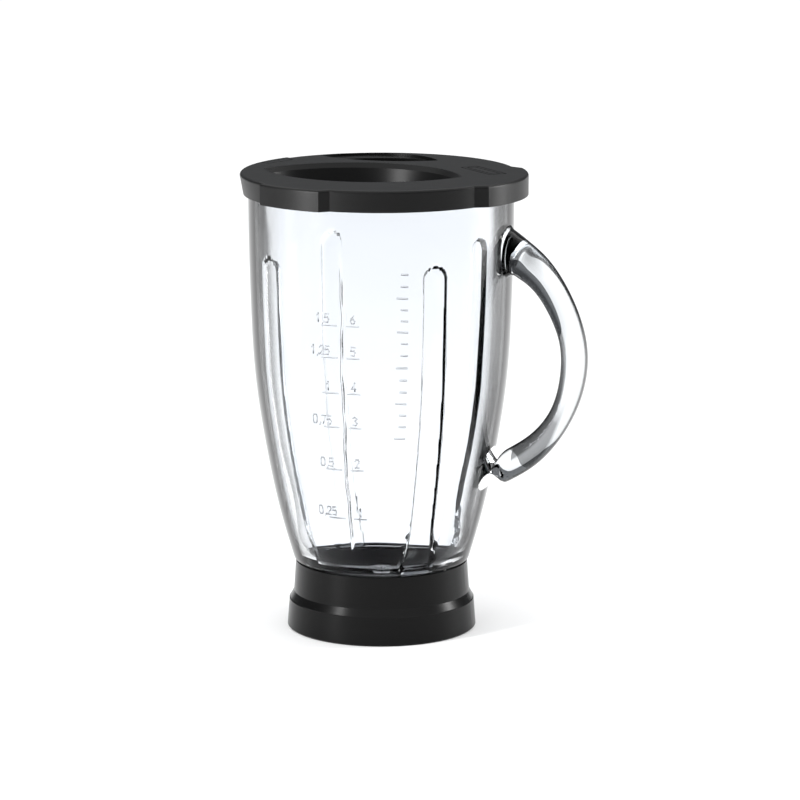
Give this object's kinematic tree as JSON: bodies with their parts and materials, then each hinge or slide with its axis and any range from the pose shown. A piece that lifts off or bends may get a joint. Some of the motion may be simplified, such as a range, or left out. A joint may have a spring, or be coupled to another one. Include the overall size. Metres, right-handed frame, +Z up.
{
  "type": "blender jug",
  "caption": "Thick glass blender jug with a D handle, black recessed lid, refill insert, stepped screw collar and a knife carrier with spinning blades.",
  "frame": {"origin": "on the collar's axis in the plane it stands on", "axes": "+Z up along the jug's axis, +X towards the handle, -X towards the pouring lip"},
  "size_m": [0.1928, 0.1528, 0.253],
  "materials": {
    "glass": "clear pressed glass",
    "lid_plastic": "matt black, fine moulded texture",
    "collar_plastic": "satin black",
    "rubber": "soft grey-white silicone",
    "steel": "ground stainless",
    "bronze": "sintered bronze",
    "coupling_plastic": "glass-filled nylon"
  },
  "bodies": {
    "base": {"base_collar": "collar_plastic", "knife_carrier": "collar_plastic", "lower_bush": "bronze", "upper_bush": "bronze", "shaft_seal": "rubber", "seal_retainer": "steel"},
    "blades": {"blade_shaft": "steel", "lower_blades": "steel", "upper_blades": "steel", "blade_spacer": "steel", "blade_nut": "steel", "upper_thrust_washer": "steel", "lower_thrust_washer": "steel", "shaft_circlip": "steel", "coupling_pin": "steel", "drive_coupling": "coupling_plastic"},
    "gasket_ring": {"jug_gasket": "rubber"},
    "jug": {"glass_jug": "glass", "glass_handle": "glass"},
    "lid": {"lid_cover": "lid_plastic", "lid_seal": "rubber"},
    "funnel": {"filler_funnel": "lid_plastic"}
  },
  "joints": [
    {"name": "blade_spin", "type": "hinge", "parent": "base", "child": "blades", "pos_m": [0, 0, 0.01], "axis": [0, 0, 1], "continuous": true},
    {"name": "jug_rise", "type": "slide", "parent": "base", "child": "gasket_ring", "axis": [0, 0, 1], "range_m": [0, 0.0012]},
    {"name": "jug_unscrew", "type": "hinge", "parent": "gasket_ring", "child": "jug", "pos_m": [0, 0, 0.03], "axis": [0, 0, 1], "range_deg": [0, 45]},
    {"name": "lid_lift", "type": "slide", "parent": "jug", "child": "lid", "axis": [0, 0, 1], "range_m": [0, 0.06]},
    {"name": "funnel_lift", "type": "slide", "parent": "lid", "child": "funnel", "axis": [0, 0, 1], "range_m": [0, 0.05]}
  ],
  "couplings": [
    {"joint": "jug_rise", "follows": "jug_unscrew", "m_per_rad": 0.0014324}
  ]
}
